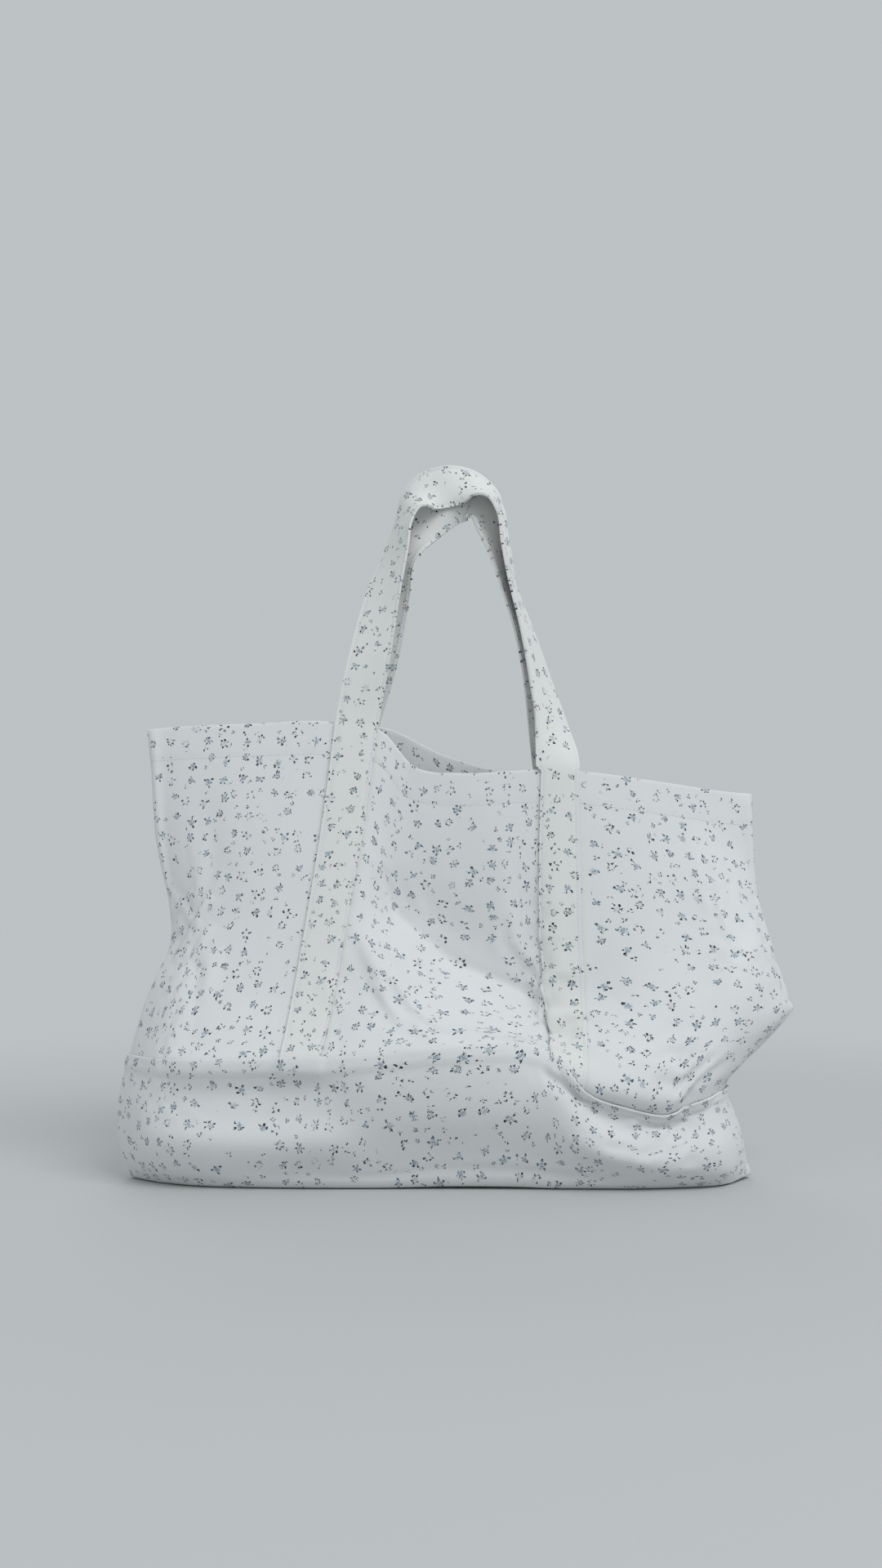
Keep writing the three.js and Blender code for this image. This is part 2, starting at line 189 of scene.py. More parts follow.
def soft_light(name, place, size, power):
    """A large pale lamp at place that looks at the middle of the bag."""
    lamp = bpy.data.objects.new(name, bpy.data.lights.new(name, "AREA"))
    lamp.data.shape = "RECTANGLE"
    lamp.data.size = size[0]
    lamp.data.size_y = size[1]
    lamp.data.energy = power
    lamp.data.color = DAYLIGHT
    lamp.location = place
    aim = Vector(BAG_MIDDLE) - Vector(place)
    lamp.rotation_euler = aim.to_track_quat("-Z", "Y").to_euler()
    scene.collection.objects.link(lamp)


soft_light("window", (1.1, -1.3, 2.2), (1.8, 1.3), 35)
soft_light("fill", (-1.8, -1.4, 1.0), (1.4, 1.4), 4)
soft_light("back", (-0.6, 2.0, 1.3), (2.0, 1.4), 9)

# ---------------------------------------------------------------- the sewn body
# The bag without its straps is one sewn tube of canvas on a boxed base, 545 mm wide laid flat and
# 362 mm high. It hangs from the strap seams and slumps: its cloth is worked out as one simulated
# sheet, from the tidy sewn shape to the slack one, and every piece below is laid on that sheet.
MM = 0.001
FLAT_HALF = 272     # half the width of the bag laid flat
HEIGHT = 362        # from the base edge to the mouth, along the cloth
WRAP = 100          # height of the wrap's top edge
GUSSET = 45         # half the depth of the boxed base
STRAP_AT = 98       # from the middle of the bag to the middle of a strap
COLUMNS = 96        # of the body's grid, across each side
ROWS = 64           # of the body's grid, base to mouth

# Where the cloth stands, by distance across the front from its middle, and up from the base edge:
# (height on the cloth, then place to the right, back and up), all in millimetres.
FRONT_FORM = {
    -272: [(362, -233, 50, 352), (280, -227, 45, 270), (190, -215, 37, 176), (150, -229, 25, 140),
           (100, -240, 10, 94), (55, -246, 1, 50), (22, -242, 0, 20), (0, -235, 0, 2)],
    -245: [(362, -206, 46, 354), (280, -204, 36, 271), (190, -200, 22, 181), (150, -212, 4, 143),
           (108, -221, -17, 101), (100, -222, -20, 95), (92, -224, -21, 87), (55, -229, -26, 51),
           (20, -226, -22, 18), (0, -220, -13, 2)],
    -190: [(362, -151, 40, 356), (280, -158, 24, 273), (190, -171, 3, 184), (150, -180, -18, 145),
           (107, -190, -41, 102), (100, -191, -45, 96), (92, -192, -45, 88), (78, -193, -42, 74),
           (60, -195, -45, 57), (38, -194, -50, 36), (18, -190, -43, 16), (0, -182, -33, 2)],
    -116: [(362, -79, 33, 357), (280, -89, 16, 274), (230, -96, 4, 225), (190, -102, -8, 186),
           (150, -108, -25, 147), (107, -114, -48, 104), (100, -115, -53, 98), (92, -115, -53, 90),
           (78, -114, -49, 76), (60, -113, -51, 59), (38, -112, -57, 37), (18, -111, -49, 16),
           (0, -110, -42, 2)],
    -80: [(362, -44, 30, 351), (280, -55, 16, 272), (230, -63, 4, 223), (190, -69, -9, 184),
          (150, -75, -27, 146), (107, -82, -51, 105), (100, -83, -56, 99), (92, -83, -57, 91),
          (78, -82, -54, 77), (60, -81, -55, 60), (38, -80, -59, 38), (18, -80, -50, 17),
          (0, -79, -43, 2)],
    -35: [(362, -14, 24, 320), (334, -19, 23, 294), (280, -25, 22, 242), (248, -28, 24, 212),
          (240, -29, 22, 205), (190, -33, -14, 175), (150, -37, -37, 147), (107, -47, -58, 108),
          (100, -48, -62, 102), (92, -48, -63, 94), (55, -44, -61, 57), (20, -40, -49, 19),
          (0, -35, -43, 2)],
    10: [(362, 24, 20, 315), (334, 22, 18, 288), (280, 19, 17, 233), (222, 14, 22, 177),
         (214, 13, 20, 169), (190, 12, 2, 156), (150, 10, -33, 133), (107, 7, -62, 113),
         (100, 7, -66, 108), (92, 7, -67, 100), (55, 8, -64, 62), (20, 9, -50, 25), (0, 10, -43, 3)],
    55: [(362, 67, 18, 317), (334, 66, 16, 290), (280, 66, 11, 235), (230, 66, 7, 185),
         (188, 71, 9, 143), (179, 72, 5, 136), (140, 74, -24, 122), (107, 70, -55, 113),
         (100, 70, -60, 109), (92, 69, -63, 101), (55, 66, -65, 64), (20, 60, -52, 26),
         (0, 56, -44, 3)],
    98: [(362, 99, 19, 318), (334, 98, 17, 290), (280, 97, 9, 236), (230, 97, 1, 186),
         (180, 100, -5, 136), (160, 102, -12, 117), (125, 100, -41, 105), (107, 99, -58, 97),
         (99, 98, -60, 90), (90, 98, -59, 83), (76, 98, -66, 72), (45, 98, -64, 44), (20, 98, -53, 20),
         (0, 98, -45, 2)],
    125: [(362, 124, 21, 316), (334, 125, 19, 288), (280, 127, 10, 233), (230, 129, -1, 184),
          (178, 131, -14, 134), (130, 127, -49, 101), (109, 123, -61, 79), (100, 121, -57, 71),
          (91, 121, -53, 65), (80, 121, -54, 58), (64, 120, -64, 47), (42, 122, -65, 32),
          (20, 124, -53, 16), (0, 124, -45, 2)],
    150: [(362, 150, 23, 313), (334, 152, 20, 285), (280, 157, 10, 230), (230, 162, -5, 181),
          (177, 163, -26, 133), (132, 156, -53, 93), (111, 149, -61, 71), (101, 147, -56, 63),
          (90, 147, -51, 56), (78, 147, -51, 49), (62, 146, -60, 39), (42, 147, -63, 27),
          (22, 149, -54, 13), (0, 151, -45, 2)],
    183: [(362, 178, 28, 309), (334, 181, 25, 281), (280, 190, 12, 227), (230, 198, -5, 179),
          (177, 199, -29, 131), (132, 184, -50, 89), (111, 176, -56, 66), (101, 174, -51, 58),
          (89, 174, -46, 51), (74, 177, -46, 43), (58, 180, -55, 33), (38, 183, -57, 21),
          (20, 184, -50, 11), (0, 185, -41, 2)],
    215: [(362, 206, 34, 305), (334, 209, 31, 277), (280, 223, 15, 223), (230, 235, -6, 177),
          (190, 236, -22, 142), (160, 226, -32, 115), (130, 211, -42, 92), (110, 203, -45, 74),
          (101, 203, -42, 67), (90, 203, -39, 60), (72, 207, -41, 48), (50, 213, -48, 32),
          (28, 219, -44, 16), (0, 219, -32, 2)],
    245: [(362, 234, 42, 301), (334, 236, 40, 273), (280, 246, 28, 222), (230, 262, 12, 175),
          (196, 269, 3, 140), (186, 268, -1, 131), (147, 248, -12, 103), (118, 230, -19, 83),
          (108, 223, -21, 76), (100, 221, -22, 71), (80, 223, -23, 57), (50, 232, -24, 34),
          (0, 237, -13, 3)],
    272: [(362, 260, 50, 299), (334, 261, 48, 272), (280, 263, 42, 219), (230, 274, 34, 170),
          (196, 284, 24, 138), (187, 287, 20, 130), (178, 282, 19, 123), (147, 260, 14, 101),
          (114, 235, 10, 79), (106, 231, 8, 74), (100, 230, 7, 70), (60, 239, 3, 40), (0, 247, 0, 3)],
}
BACK_FORM = {
    -272: FRONT_FORM[-272],
    -245: [(362, -206, 54, 354), (280, -203, 55, 271), (190, -196, 52, 181), (100, -222, 38, 96),
           (72, -241, 22, 69), (50, -243, 18, 48), (22, -237, 15, 20), (0, -221, 12, 2)],
    -190: [(362, -151, 60, 355), (280, -156, 62, 273), (190, -168, 58, 184), (100, -188, 52, 96),
           (50, -192, 48, 48), (0, -182, 33, 2)],
    -116: [(362, -79, 66, 356), (280, -88, 66, 275), (190, -100, 62, 185), (100, -114, 56, 97),
           (50, -112, 52, 48), (0, -110, 45, 2)],
    -80: [(362, -44, 67, 355), (280, -55, 66, 273), (190, -69, 63, 183), (100, -82, 57, 97),
          (50, -80, 52, 48), (0, -79, 45, 2)],
    -20: [(362, 8, 67, 332), (280, 2, 68, 255), (190, -10, 66, 172), (100, -18, 60, 92),
          (50, -18, 54, 46), (0, -20, 45, 2)],
    40: [(362, 58, 66, 317), (280, 52, 68, 240), (190, 45, 67, 163), (100, 42, 61, 90),
         (50, 42, 54, 46), (0, 40, 45, 2)],
    98: [(362, 100, 65, 314), (280, 100, 67, 238), (190, 99, 66, 162), (100, 98, 61, 88),
         (50, 98, 54, 45), (0, 98, 45, 2)],
    190: [(362, 182, 60, 308), (280, 186, 64, 236), (190, 190, 63, 160), (100, 188, 58, 85),
          (50, 190, 50, 44), (0, 190, 40, 2)],
    245: [(362, 234, 56, 301), (280, 245, 55, 222), (230, 262, 52, 173), (190, 270, 44, 135),
          (148, 251, 39, 102), (112, 233, 34, 77), (60, 234, 27, 36), (0, 232, 14, 3)],
    272: FRONT_FORM[272],
}


def smooth_path(keys, points, at):
    """Points on the smooth curve that passes through points at keys, for every value in at."""
    keys = np.array(keys, float)
    points = np.array(points, float)
    rise = np.diff(points, axis=0) / np.diff(keys)[:, None]
    slope = np.empty_like(points)
    slope[0] = rise[0]
    slope[-1] = rise[-1]
    before = np.diff(keys)[:-1, None]
    after = np.diff(keys)[1:, None]
    slope[1:-1] = (rise[:-1] * after + rise[1:] * before) / (before + after)
    at = np.clip(at, keys[0], keys[-1])
    i = np.clip(np.searchsorted(keys, at, side="right") - 1, 0, len(keys) - 2)
    span = (keys[i + 1] - keys[i])[:, None]
    t = ((at - keys[i]) / span[:, 0])[:, None]
    start = (1 + 2 * t) * (1 - t) ** 2 * points[i] + t * (1 - t) ** 2 * span * slope[i]
    end = t * t * (3 - 2 * t) * points[i + 1] + t * t * (t - 1) * span * slope[i + 1]
    return start + end


def formed_sheet(form, across, up):
    """The grid of places, in metres, that a form gives: rows of up by columns of across."""
    ordered = [np.array(sorted(points), float) for points in form.values()]
    columns = np.array([smooth_path(points[:, 0], points[:, 1:], up) for points in ordered])
    rows = [smooth_path(list(form), columns[:, j], across) for j in range(len(up))]
    return np.array(rows) * MM


across = np.linspace(-FLAT_HALF, FLAT_HALF, COLUMNS + 1)
up = np.linspace(0, HEIGHT, ROWS + 1)
front_form = formed_sheet(FRONT_FORM, across, up)
back_form = formed_sheet(BACK_FORM, across, up)
slack = np.concatenate([front_form, back_form[:, -2:0:-1]], axis=1)
box_across = np.clip(across, GUSSET - FLAT_HALF, FLAT_HALF - GUSSET)
box_depth = np.minimum(GUSSET, FLAT_HALF - np.abs(across))
tidy = np.empty_like(slack)
tidy[..., 0] = np.concatenate([box_across, box_across[-2:0:-1]]) * MM
tidy[..., 1] = np.concatenate([-box_depth, box_depth[-2:0:-1]]) * MM
tidy[..., 2] = up[:, None] * MM


# How stiff and how heavy the canvas is while it settles, and how quickly it comes to rest.
CANVAS_FEEL = {
    "quality": 6, "mass": 0.12, "air_damping": 2.0, "pin_stiffness": 1.0,
    "tension_stiffness": 40, "compression_stiffness": 40, "shear_stiffness": 8,
    "bending_stiffness": 0.6, "tension_damping": 12, "compression_damping": 12, "shear_damping": 8,
}


def settle(start_shape, rest_shape, hold, frames):
    """Lets the tube of cloth settle from one shape, with the sewn lengths of another, and returns it.

    hold says how firmly every point keeps to the start, from 0, free, to 1, fixed.
    """
    rows, around = hold.shape
    mesh = bmesh.new()
    bmesh.ops.create_grid(mesh, x_segments=around, y_segments=rows - 1, size=1)
    mesh.verts.ensure_lookup_table()
    places = np.concatenate([rest_shape, rest_shape[:, :1]], axis=1).reshape(-1, 3)
    for vertex, place in zip(mesh.verts, places):
        vertex.co = place
    firsts = [row * (around + 1) for row in range(rows)]
    closing = {mesh.verts[first + around]: mesh.verts[first] for first in firsts}
    bmesh.ops.weld_verts(mesh, targetmap=closing)
    cloth = placed(mesh, "settling cloth")
    cloth.shape_key_add(name="sewn")
    slump = cloth.shape_key_add(name="slumped")
    slump.data.foreach_set("co", start_shape.reshape(-1))
    slump.value = 1.0
    pins = cloth.vertex_groups.new(name="held")
    for index, weight in enumerate(hold.reshape(-1)):
        pins.add([index], float(weight), "REPLACE")
    settling = cloth.modifiers.new("cloth", "CLOTH")
    for key, value in CANVAS_FEEL.items():
        setattr(settling.settings, key, value)
    settling.settings.vertex_group_mass = "held"
    settling.settings.rest_shape_key = cloth.data.shape_keys.key_blocks["sewn"]
    settling.collision_settings.use_collision = False
    settling.collision_settings.use_self_collision = True
    settling.collision_settings.self_distance_min = 0.002
    settling.point_cache.frame_start = 1
    settling.point_cache.frame_end = frames
    for frame_number in range(1, frames + 1):
        scene.frame_set(frame_number)
    settled = cloth.evaluated_get(bpy.context.evaluated_depsgraph_get())
    places = np.empty(rows * around * 3)
    settled.data.vertices.foreach_get("co", places)
    bpy.data.objects.remove(cloth)
    scene.frame_set(1)
    return places.reshape(rows, around, 3)


def hill(u_away, v_away, u_reach, v_reach):
    """1 where both distances are 0, falling off smoothly over the two reaches."""
    return np.exp(-((v_away / v_reach) ** 2) - (u_away / u_reach) ** 2)


# How firmly the cloth keeps to its slack shape: loose over the panels, firmer in the doubled base,
# along the seams, in the deep fold across the middle and where the cloth lips over at the right,
# firmest at the notch under the bulge on the right seam and where the base and the mouth are held.
LOOSE = 0.13
BASE_HOLD = 0.30
SEAM_HOLD = 0.34
FOLD_HOLD = 0.13
LIP_HOLD = 0.17
EDGE_HOLD = 0.3
LEFT_WAIST_HOLD = 0.37
RIGHT_NOTCH_HOLD = 0.7
MOUTH_HOLD = 0.8
SETTLING_FRAMES = 30
around_u = np.concatenate([across, across[-2:0:-1]])[None, :]
up_v = up[:, None]
is_front = (np.arange(2 * COLUMNS) <= COLUMNS)[None, :]
from_seam = FLAT_HALF - np.abs(around_u)
fold_line = 226 - 0.55 * around_u
holds = [
    BASE_HOLD - (BASE_HOLD - LOOSE) * np.clip((up_v - 85) / 50, 0, 1),
    SEAM_HOLD - (SEAM_HOLD - LOOSE) * np.clip(from_seam / 60, 0, 1),
    LOOSE + FOLD_HOLD * hill(around_u - 20, up_v - fold_line, 75, 38) * is_front,
    LOOSE + LIP_HOLD * hill(around_u - 190, up_v - 112, 85, 45) * is_front,
    LOOSE + EDGE_HOLD * hill(0, up_v - WRAP, 1, 9) * is_front,
    LOOSE + np.where(around_u > 0, RIGHT_NOTCH_HOLD, LEFT_WAIST_HOLD)
    * hill(np.abs(around_u) - 258, up_v - 135, 55, 70),
]
hold = np.full(slack.shape[:2], LOOSE)
for part in holds:
    hold = np.maximum(hold, part)
hold[-1] = MOUTH_HOLD
hold[0] = 1.0
body = settle(slack, tidy, hold, SETTLING_FRAMES)

# The way out of the bag at every grid point, averaged across the side seams.
along = np.roll(body, -1, axis=1) - np.roll(body, 1, axis=1)
upward = np.gradient(body, axis=0)
outward = np.cross(along, upward)
outward /= np.linalg.norm(outward, axis=2)[..., None]


def one_side(grid, name):
    """The front or the back half of a grid that runs round the bag, left to right."""
    if name == "front":
        return grid[:, : COLUMNS + 1]
    return np.concatenate([grid[:, :1], grid[:, : COLUMNS - 1 : -1]], axis=1)


def cubic_weights(t):
    """How much each of four neighbours counts for a smooth curve at t between the middle two."""
    return np.array([
        -0.5 * t + t * t - 0.5 * t ** 3, 1 - 2.5 * t * t + 1.5 * t ** 3,
        0.5 * t + 2 * t * t - 1.5 * t ** 3, 0.5 * (t ** 3 - t * t),
    ])


def read_grid(grid, u, v):
    """Smooth values of a grid at flat places u, across, and v, up, in millimetres."""
    total = 0
    i = np.clip((u + FLAT_HALF) / (2 * FLAT_HALF) * COLUMNS, 0, COLUMNS)
    j = np.clip(v / HEIGHT * ROWS, 0, ROWS)
    i0 = np.minimum(i.astype(int), COLUMNS - 1)
    j0 = np.minimum(j.astype(int), ROWS - 1)
    wi = cubic_weights(i - i0)
    wj = cubic_weights(j - j0)
    for a in range(4):
        column = np.clip(i0 + a - 1, 0, COLUMNS)
        for b in range(4):
            row = np.clip(j0 + b - 1, 0, ROWS)
            total = total + grid[row, column] * (wi[a] * wj[b])[..., None]
    return total


# Creases that the slack front has taken, as lines across and up the flat cloth with a depth and a
# width: from the left strap down to the right strap, where the middle falls in, from the left side to
# the wrap, and a short one where the cloth turns under at the end of the right strap.
CREASES = [
    ([(-54, 266), (-36, 243), (12, 214), (60, 186), (100, 171)], 2.6, 4.5),
    ([(-240, 190), (-205, 168), (-190, 140), (-186, 108)], 3.0, 9.0),
    ([(74, 104), (96, 92), (122, 84), (150, 80)], 1.6, 5.0),
]


def creased(u, v):
    """How far the creases draw the front in at flat places u, v, in millimetres."""
    drawn = np.zeros(u.shape)
    for line, depth, width in CREASES:
        line = np.array(line, float)
        nearest = np.full(u.shape, np.inf)
        along = np.zeros(u.shape)
        for i in range(len(line) - 1):
            step = line[i + 1] - line[i]
            from_u, from_v = u - line[i, 0], v - line[i, 1]
            t = np.clip((from_u * step[0] + from_v * step[1]) / (step @ step), 0, 1)
            gap = np.hypot(from_u - t * step[0], from_v - t * step[1])
            along = np.where(gap < nearest, (i + t) / (len(line) - 1), along)
            nearest = np.minimum(gap, nearest)
        drawn += depth * np.exp(-np.abs(nearest / width) ** 1.5) * np.sin(math.pi * along) ** 0.5
    return drawn


def on_cloth(side, u, v, off):
    """Places at flat u, v on one side of the body, standing off its surface by off millimetres."""
    u, v, off = np.broadcast_arrays(*(np.asarray(value, float) for value in (u, v, off)))
    if side == "front":
        off = off - creased(u, v)
    normal = read_grid(one_side(outward, side), u, v)
    normal /= np.linalg.norm(normal, axis=-1)[..., None]
    return read_grid(one_side(body, side), u, v) + normal * off[..., None] * MM


def bump_at(distance, width):
    """1 at no distance, falling off smoothly over the width."""
    return np.exp(-((distance / width) ** 2))


def ease(value, low, high):
    """0 below low, 1 above high, smooth in between."""
    t = np.clip((value - low) / (high - low), 0, 1)
    return t * t * (3 - 2 * t)


# ---------------------------------------------------------------- front and back panels
# Each panel is one piece of printed cotton canvas, sewn to the other at the sides, with its top edge
# turned in twice as a 28 mm hem. Its lower edge is caught under the wrap round the base.
CLOTH = 0.9             # thickness
STEP = 2.8              # from the mouth's edge to the hem's first row inside
HEM = 28                # height of the hem
HEM_BEND = 1.1          # radius of the turned mouth edge
TUCK = 12               # how far a panel runs down inside the wrap
GROOVE = 0.8            # how deep a side seam draws in
GROOVE_WIDTH = 2.4
HEM_ROW = HEIGHT - HEM + 3
HEM_LIFT = 0.3          # how far the doubled hem stands out
HEM_PULL = (0.35, 0.25, 1.8)    # depth, unevenness and width of the line that its stitches draw in


def ripple(u, seed):
    """An uneven, gentle gathering along a seam, from about -1 to 1."""
    waves = ((0.5, 3.1), (0.3, 5.3), (0.2, 9.7))
    return sum(size * np.sin(u / length + (i + 1) * seed) for i, (size, length) in enumerate(waves))


def stitch_line(away, u, pull, seed):
    """How far a row of stitches draws the cloth in, away millimetres from it."""
    depth, uneven, width = pull
    return bump_at(away, width) * (depth + uneven * ripple(u, seed))


def panel_off(u, v, seed):
    """How far the face of a panel stands off the body: raised over the hem, drawn in at the seams."""
    hem = HEM_LIFT * ease(v, HEIGHT - HEM, HEIGHT - HEM + 3)
    stitched = stitch_line(v - HEM_ROW, u, HEM_PULL, 1 + seed)
    return hem - stitched - GROOVE * bump_at(FLAT_HALF - np.abs(u), GROOVE_WIDTH)


def turned_edge(rows, top, radius, inner_rows):
    """Heights up the cloth, depths under its face and lengths along it, over a turned top edge."""
    rise = np.concatenate([rows, top + radius * np.sin(bend), inner_rows])
    layer = [np.zeros(len(rows)), -radius * (1 - np.cos(bend)), np.full(len(inner_rows), -2 * radius)]
    run = np.concatenate([rows, top + radius * bend, 2 * top + radius * math.pi - inner_rows])
    return rise, np.concatenate(layer), run


def sheet_piece(name, grids):
    """One piece of cloth from grids of (places, flat u, flat v, turned), welded where they meet."""
    mesh = bmesh.new()
    flat = mesh.loops.layers.uv.new("UVMap")
    for places, u, v, turned in grids:
        rows, columns = u.shape
        made = bmesh.ops.create_grid(mesh, x_segments=columns - 1, y_segments=rows - 1, size=1)
        faces = {face for vertex in made["verts"] for face in vertex.link_faces}
        spots = {}
        for vertex, place, a, b in zip(made["verts"], places.reshape(-1, 3), u.flat, v.flat):
            vertex.co = place
            spots[vertex] = (a * MM, b * MM)
        for face in faces:
            face.smooth = True
            for corner in face.loops:
                corner[flat].uv = spots[corner.vert]
        if turned:
            bmesh.ops.reverse_faces(mesh, faces=list(faces))
    bmesh.ops.remove_doubles(mesh, verts=mesh.verts, dist=0.05 * MM)
    return placed(mesh, name)


def give_thickness(piece, thickness):
    """Gives a sheet its thickness, inwards from the face that it was laid on."""
    wall = piece.modifiers.new("thickness", "SOLIDIFY")
    wall.thickness = thickness * MM
    wall.offset = -1
    wall.use_even_offset = False


# The print: sprigs of five to eight petals round a blue-grey middle, and smaller sprigs between them.
# spacing is from spot to spot, ring is the sprig's radius and petal a petal's length, in millimetres;
# present is the share of spots that have a sprig.
SPRIG = {"spacing": 15.0, "count": (5, 8), "ring": 2.75, "petal": 0.86, "present": 0.88}
SMALL_SPRIG = {"spacing": 9.6, "count": (3, 5), "ring": 1.2, "petal": 0.66, "present": 0.46}
CLEAR_OF_SPRIG = (5.2, 6.2)
COTTON = (0.725, 0.732, 0.735)
STRAP_COTTON = (0.73, 0.728, 0.715)
WASHES = ((0.12, 0.20, 0.31, 1), (0.17, 0.27, 0.32, 1))
INKS = ((0.014, 0.020, 0.030, 1), (0.085, 0.12, 0.155, 1))
SMALL_INKS = ((0.014, 0.020, 0.028, 1), (0.12, 0.155, 0.18, 1))
THREAD_TO_THREAD = 0.9      # of the weave, in millimetres


def print_ink(finish, place, spacing, count, ring, petal, present, shift):
    """Sprigs of small petals round a faint middle, one to each random spot of the cloth.

    Returns the petals' strength, the middle's strength, the distance from the spot and its colour.
    """
    moved = finish.node("ShaderNodeVectorMath", {"operation": "ADD"}, [place, (shift, shift * 0.7, 0)])
    cells = {"voronoi_dimensions": "2D", "feature": "F1"}
    values = {"Vector": moved, "Scale": 1 / spacing, "Randomness": 0.55}
    spot = finish.node("ShaderNodeTexVoronoi", cells, values)
    centre = Signal(finish, spot.socket.node.outputs["Position"])
    tint = Signal(finish, spot.socket.node.outputs["Color"])
    values = {"Vector": moved, "Scale": 1.1 / petal * 0.5, "Detail": 1.0}
    wander = finish.node("ShaderNodeTexNoise", {"noise_dimensions": "2D"}, values, output=1)
    wander = finish.node("ShaderNodeVectorMath", {"operation": "SUBTRACT"}, [wander, (0.5, 0.5, 0.5)])
    values = {"Vector": wander, "Scale": 3.6 * petal}
    wander = finish.node("ShaderNodeVectorMath", {"operation": "SCALE"}, values)
    local = finish.node("ShaderNodeVectorMath", {"operation": "SUBTRACT"}, [moved, centre])
    away = finish.node("ShaderNodeVectorMath", {"operation": "LENGTH"}, [local], output=1)
    local = finish.node("ShaderNodeVectorMath", {"operation": "ADD"}, [local, wander])
    parts = finish.node("ShaderNodeSeparateXYZ", values=[local])
    x, y = (Signal(finish, parts.socket.node.outputs[i]) for i in (0, 1))
    chance = finish.node("ShaderNodeSeparateColor", values=[tint])
    first, second, third = (Signal(finish, chance.socket.node.outputs[i]) for i in (0, 1, 2))
    radius = finish.node("ShaderNodeVectorMath", {"operation": "LENGTH"}, [local], output=1)
    radius = radius * (second * 0.4 + 0.85)
    number = (second * (count[1] - count[0] + 0.98) + count[0]).maths("FLOOR", 0)
    turn = (y.maths("ARCTAN2", x) / math.tau + first * 3) * number
    sector = turn.maths("FLOOR", 0)
    key = finish.node("ShaderNodeCombineXYZ", values=[sector, first * 50, third * 50])
    luck = finish.node("ShaderNodeTexWhiteNoise", {"noise_dimensions": "3D"}, {"Vector": key})
    luck_colour = Signal(finish, luck.socket.node.outputs["Color"])
    other = finish.node("ShaderNodeSeparateColor", values=[luck_colour])
    side = (turn - sector - 0.5 + (other - 0.5) * 0.35) * math.tau * ring / number
    reach = radius - ring * (0.62 + luck * 0.68)
    long = petal * (other * 0.85 + 0.5)
    wide = petal * (1.2 - other * 0.72)
    shape = (reach / long).maths("POWER", 2) + (side / wide).maths("POWER", 2)
    petals = (1 - finish.step(shape, 0.8, 1.4)) * finish.step(luck, 0.14, 0.26) * (other * 0.35 + 0.8)
    here = finish.step(third, 1 - present, 1.02 - present)
    middle = (1 - finish.step(radius, ring * 0.35, ring * 0.95)) * finish.step(first, 0.25, 0.6)
    return petals * here, middle * here, away, tint


def canvas(name, shift, tone):
    """Printed cotton canvas. shift moves the print, because each piece is cut from its own place."""
    finish = Finish(name)
    flat = finish.node("ShaderNodeUVMap", {"uv_map": "UVMap"})
    values = {"Vector": flat, "Scale": 1 / MM}
    place = finish.node("ShaderNodeVectorMath", {"operation": "SCALE"}, values)
    wide = finish.node("ShaderNodeTexNoise", {}, {"Vector": place, "Scale": 0.035, "Detail": 3.0})
    slub = finish.node("ShaderNodeTexNoise", {}, {"Vector": place, "Scale": 0.9, "Detail": 4.0})
    cotton = finish.mix(wide, (*tone, 1), (*(c * 0.965 for c in tone), 1))
    cotton = finish.mix((slub - 0.4) * 0.25, cotton, (*(c * 0.86 for c in tone), 1))

    petals, middle, away, tint = print_ink(finish, place, **SPRIG, shift=shift)
    small, _, _, small_tint = print_ink(finish, place, **SMALL_SPRIG, shift=shift * 1.7 + 31)
    small = small * finish.step(away, *CLEAR_OF_SPRIG)
    hue = finish.node("ShaderNodeSeparateColor", values=[tint], output=2)
    hue_small = finish.node("ShaderNodeSeparateColor", values=[small_tint], output=1)
    wash = finish.mix(hue, *WASHES)
    ink = finish.mix(finish.step(hue, 0.45, 1.0), *INKS)
    ink_small = finish.mix(finish.step(hue_small, 0.5, 1.0), *SMALL_INKS)
    patch = finish.node("ShaderNodeTexNoise", {}, {"Vector": place, "Scale": 0.8, "Detail": 2.0})
    dry = finish.step(patch, 0.32, 0.55)
    colour = finish.mix(middle * 0.8 * dry, cotton, wash)
    colour = finish.mix(small * (dry * 0.35 + 0.65), colour, ink_small)
    colour = finish.mix(petals * (dry * 0.35 + 0.8), colour, ink)

    parts = finish.node("ShaderNodeSeparateXYZ", values=[place])
    pace = math.tau / THREAD_TO_THREAD
    across_threads = (parts * pace).maths("SINE", 0)
    up_threads = (Signal(finish, parts.socket.node.outputs[1]) * pace).maths("SINE", 0)
    weave = across_threads * up_threads + slub * 0.9
    bump = finish.node("ShaderNodeBump", {}, {"Strength": 0.35, "Distance": 0.00012, "Height": weave})
    finish.shade(Base_Color=colour, Roughness=slub * 0.08 + 0.84, Normal=bump)
    finish.shade(Sheen_Weight=0.18, Sheen_Roughness=0.5, Specular_IOR_Level=0.25)
    return finish.material


